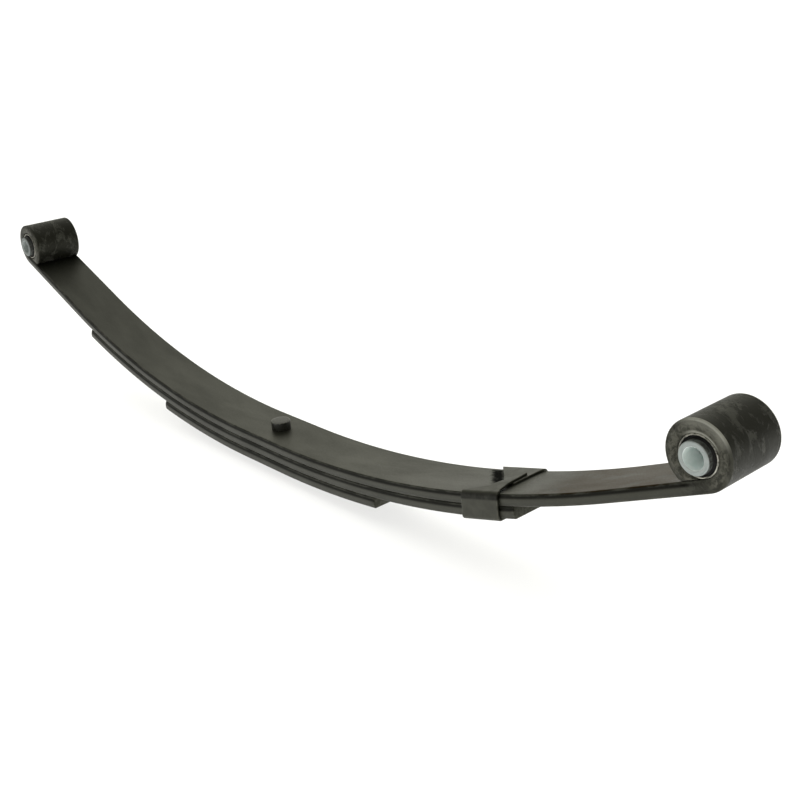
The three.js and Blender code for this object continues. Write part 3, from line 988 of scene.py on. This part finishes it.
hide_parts("clip_rivet")

# ---- Bushings ----------------------------------------------------------------------------------

SHELL_IN_R = 11.15 * MM
SHELL_OUT_R = EYE_BORE_R - 0.03 * MM
SLEEVE_R = 9.525 * MM
SLEEVE_BORE_R = 6.4 * MM
RUBBER_BORE_R = SLEEVE_R + 0.05 * MM  # clear of the sleeve, which turns in it
RUBBER_DISH = 1.4 * MM
RUBBER_LIP = 0.9 * MM  # how far the lip at the shell stands inside the CAD's rubber
RUBBER_LIP_RISE = 0.7 * MM  # and how much higher the lip at the sleeve is
DISH_POWER = 0.7
SLEEVE_CHAMFER = 0.45 * MM
SLEEVE_END_PART = 6 * MM


def half_width(node):
    """Half a node's length across the spring."""
    low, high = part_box(node)
    return (high.y - low.y) / 2


for end in ("front", "rear"):
    low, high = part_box(f"{end}_inner_sleeve")
    centre = (low + high) / 2
    half_sleeve = half_width(f"{end}_inner_sleeve")
    half_shell = half_width(f"{end}_bushing_shell")
    half_rubber = half_width(f"{end}_bushing_rubber")

    # The shell: a drawn tube whose rims are rolled over a little.
    wall = (SHELL_OUT_R - SHELL_IN_R) / 2
    middle = SHELL_IN_R + wall
    heights = [share * half_shell for share in (-0.9, -0.45, 0, 0.45, 0.9)]
    profile = [(SHELL_OUT_R, height, 0.0) for height in heights]
    profile += arc(middle, half_shell - wall, wall, 0, 180, 10)
    profile += [(SHELL_IN_R, height, 0.0) for height in reversed(heights)]
    profile += arc(middle, wall - half_shell, wall, 180, 360, 10)
    shell = lathe(f"{end}_bushing_shell_tube", profile, SHELL, centre, "Y")
    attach(shell, f"{end}_arm")
    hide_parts(f"{end}_bushing_shell")

    # The rubber: dished between shell and sleeve, with a lip against each.
    profile = []
    for share in np.linspace(0, 1, 13):
        r = SHELL_IN_R - (SHELL_IN_R - RUBBER_BORE_R) * share
        h = half_rubber - RUBBER_LIP - RUBBER_DISH * math.sin(math.pi * share) ** DISH_POWER
        profile.append((r, h + RUBBER_LIP_RISE * share, 0.0))
    profile += [(r, -h, e) for r, h, e in reversed(profile)]
    ring = lathe(f"{end}_bushing_rubber_ring", profile, RUBBER, centre, "Y")
    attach(ring, f"{end}_arm")
    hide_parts(f"{end}_bushing_rubber")

    # The sleeve: cut tube with a chamfer outside and a broken edge at the bore.
    one_end = [
        (SLEEVE_R, half_sleeve - SLEEVE_END_PART, 0.0),
        (SLEEVE_R, half_sleeve - SLEEVE_CHAMFER - 0.3 * MM, 0.2),
        (SLEEVE_R - 0.03 * MM, half_sleeve - SLEEVE_CHAMFER, RIM),
        (SLEEVE_R - SLEEVE_CHAMFER, half_sleeve - 0.03 * MM, RIM),
        (SLEEVE_R - SLEEVE_CHAMFER - 0.3 * MM, half_sleeve, 0.2),
        (SLEEVE_BORE_R + 0.8 * MM, half_sleeve, 0.2),
        (SLEEVE_BORE_R + 0.3 * MM, half_sleeve - 0.02 * MM, RIM),
        (SLEEVE_BORE_R, half_sleeve - 0.35 * MM, RIM),
        (SLEEVE_BORE_R, half_sleeve - 0.8 * MM, 0.0),
        (SLEEVE_BORE_R, half_sleeve - SLEEVE_END_PART, 0.0),
    ]
    profile = one_end + [(r, -h, e) for r, h, e in reversed(one_end)]
    sleeve = lathe(f"{end}_inner_sleeve_tube", profile, ZINC[end], centre, "Y")
    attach(sleeve, f"{end}_sleeve")
    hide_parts(f"{end}_inner_sleeve")

# ---- Floor, light and camera -------------------------------------------------------------------

FLOOR_Z = bolt_low.z - 0.4 * MM
FLOOR_RINGS = (0.4, 1.0, 2.5, 6.0, 15.0, 60.0)
FLOOR_SEGMENTS = 64
FLOOR_WHITE = (0.86, 0.86, 0.86, 1)


def make_floor():
    look = Look("studio_floor")
    look.set(Base_Color=FLOOR_WHITE, Roughness=0.9)
    count = FLOOR_SEGMENTS
    verts = [(0, 0, FLOOR_Z)]
    for radius in FLOOR_RINGS:
        for i in range(count):
            angle = 2 * math.pi * i / count
            verts.append((radius * math.cos(angle), radius * math.sin(angle), FLOOR_Z))
    faces = [(0, 1 + i, 1 + (i + 1) % count) for i in range(count)]
    for k in range(len(FLOOR_RINGS) - 1):
        a, b = 1 + k * count, 1 + (k + 1) * count
        for i in range(count):
            n = (i + 1) % count
            faces.append((a + i, b + i, b + n, a + n))
    mesh = bpy.data.meshes.new("studio_floor")
    mesh.from_pydata(verts, [], faces)
    mesh.materials.append(look.material)
    floor = bpy.data.objects.new("studio_floor", mesh)
    bpy.context.scene.collection.objects.link(floor)
    return floor


floor = make_floor()

# A soft grey studio, with a bright part low behind the spring.
BEHIND = Vector((-0.719, 0.592, 0.30)).normalized()
STUDIO_TINT = (1.0, 0.995, 0.87, 1.0)
STUDIO_DIM = 0.28
STUDIO_BRIGHT = 0.99
BRIGHT_FROM = 0.70  # the cosine of the angle from BEHIND where the bright part begins

world = bpy.data.worlds.new("studio")
bpy.context.scene.world = world
world.use_nodes = True
tree = world.node_tree
background = tree.nodes["Background"]
background.inputs["Color"].default_value = STUDIO_TINT
place = tree.nodes.new("ShaderNodeTexCoord")
facing = tree.nodes.new("ShaderNodeVectorMath")
facing.operation = "DOT_PRODUCT"
facing.inputs[1].default_value = BEHIND
tree.links.new(place.outputs["Generated"], facing.inputs[0])
level = tree.nodes.new("ShaderNodeMapRange")
level.interpolation_type = "SMOOTHSTEP"
level.inputs["From Min"].default_value = BRIGHT_FROM
level.inputs["From Max"].default_value = 1.0
level.inputs["To Min"].default_value = STUDIO_DIM
level.inputs["To Max"].default_value = STUDIO_BRIGHT
tree.links.new(facing.outputs["Value"], level.inputs["Value"])
tree.links.new(level.outputs["Result"], background.inputs["Strength"])


def soft_sun(name, towards, strength, angle, only=None, shadow=True):
    """A very broad sun: soft, even light over the whole floor. only limits it to one object."""
    light = bpy.data.lights.new(name, "SUN")
    light.energy = strength
    light.angle = math.radians(angle)
    light.use_shadow = shadow
    obj = bpy.data.objects.new(name, light)
    obj.rotation_mode = "QUATERNION"
    obj.rotation_quaternion = Vector(towards).to_track_quat("-Z", "Y")
    bpy.context.scene.collection.objects.link(obj)
    if only is not None:
        receivers = bpy.data.collections.new(name + "_receivers")
        receivers.objects.link(only)
        obj.light_linking.receiver_collection = receivers


soft_sun("floor_wash", (0, 0, -1), strength=2.85, angle=60, only=floor, shadow=False)
soft_sun("top_sun", (0.1, -0.1, -1.0), strength=0.6, angle=90)

CAMERA_AT = Vector((0.7257, -0.4716, 0.3521))
CAMERA_RIGHT = Vector((0.6557, 0.7515, -0.0729))
CAMERA_UP = Vector((-0.2302, 0.2910, 0.9286))
CAMERA_LENS = 51.73

data = bpy.data.cameras.new("camera")
data.sensor_width = 36
data.lens = CAMERA_LENS
data.clip_start = 0.01
data.clip_end = 200
camera = bpy.data.objects.new("camera", data)
back = CAMERA_RIGHT.cross(CAMERA_UP)
turn = Matrix((CAMERA_RIGHT, CAMERA_UP, back)).transposed()
camera.matrix_world = Matrix.Translation(CAMERA_AT) @ turn.to_4x4()
bpy.context.scene.collection.objects.link(camera)
bpy.context.scene.camera = camera
bpy.context.scene.view_settings.view_transform = "Standard"
bpy.context.scene.view_settings.look = "None"
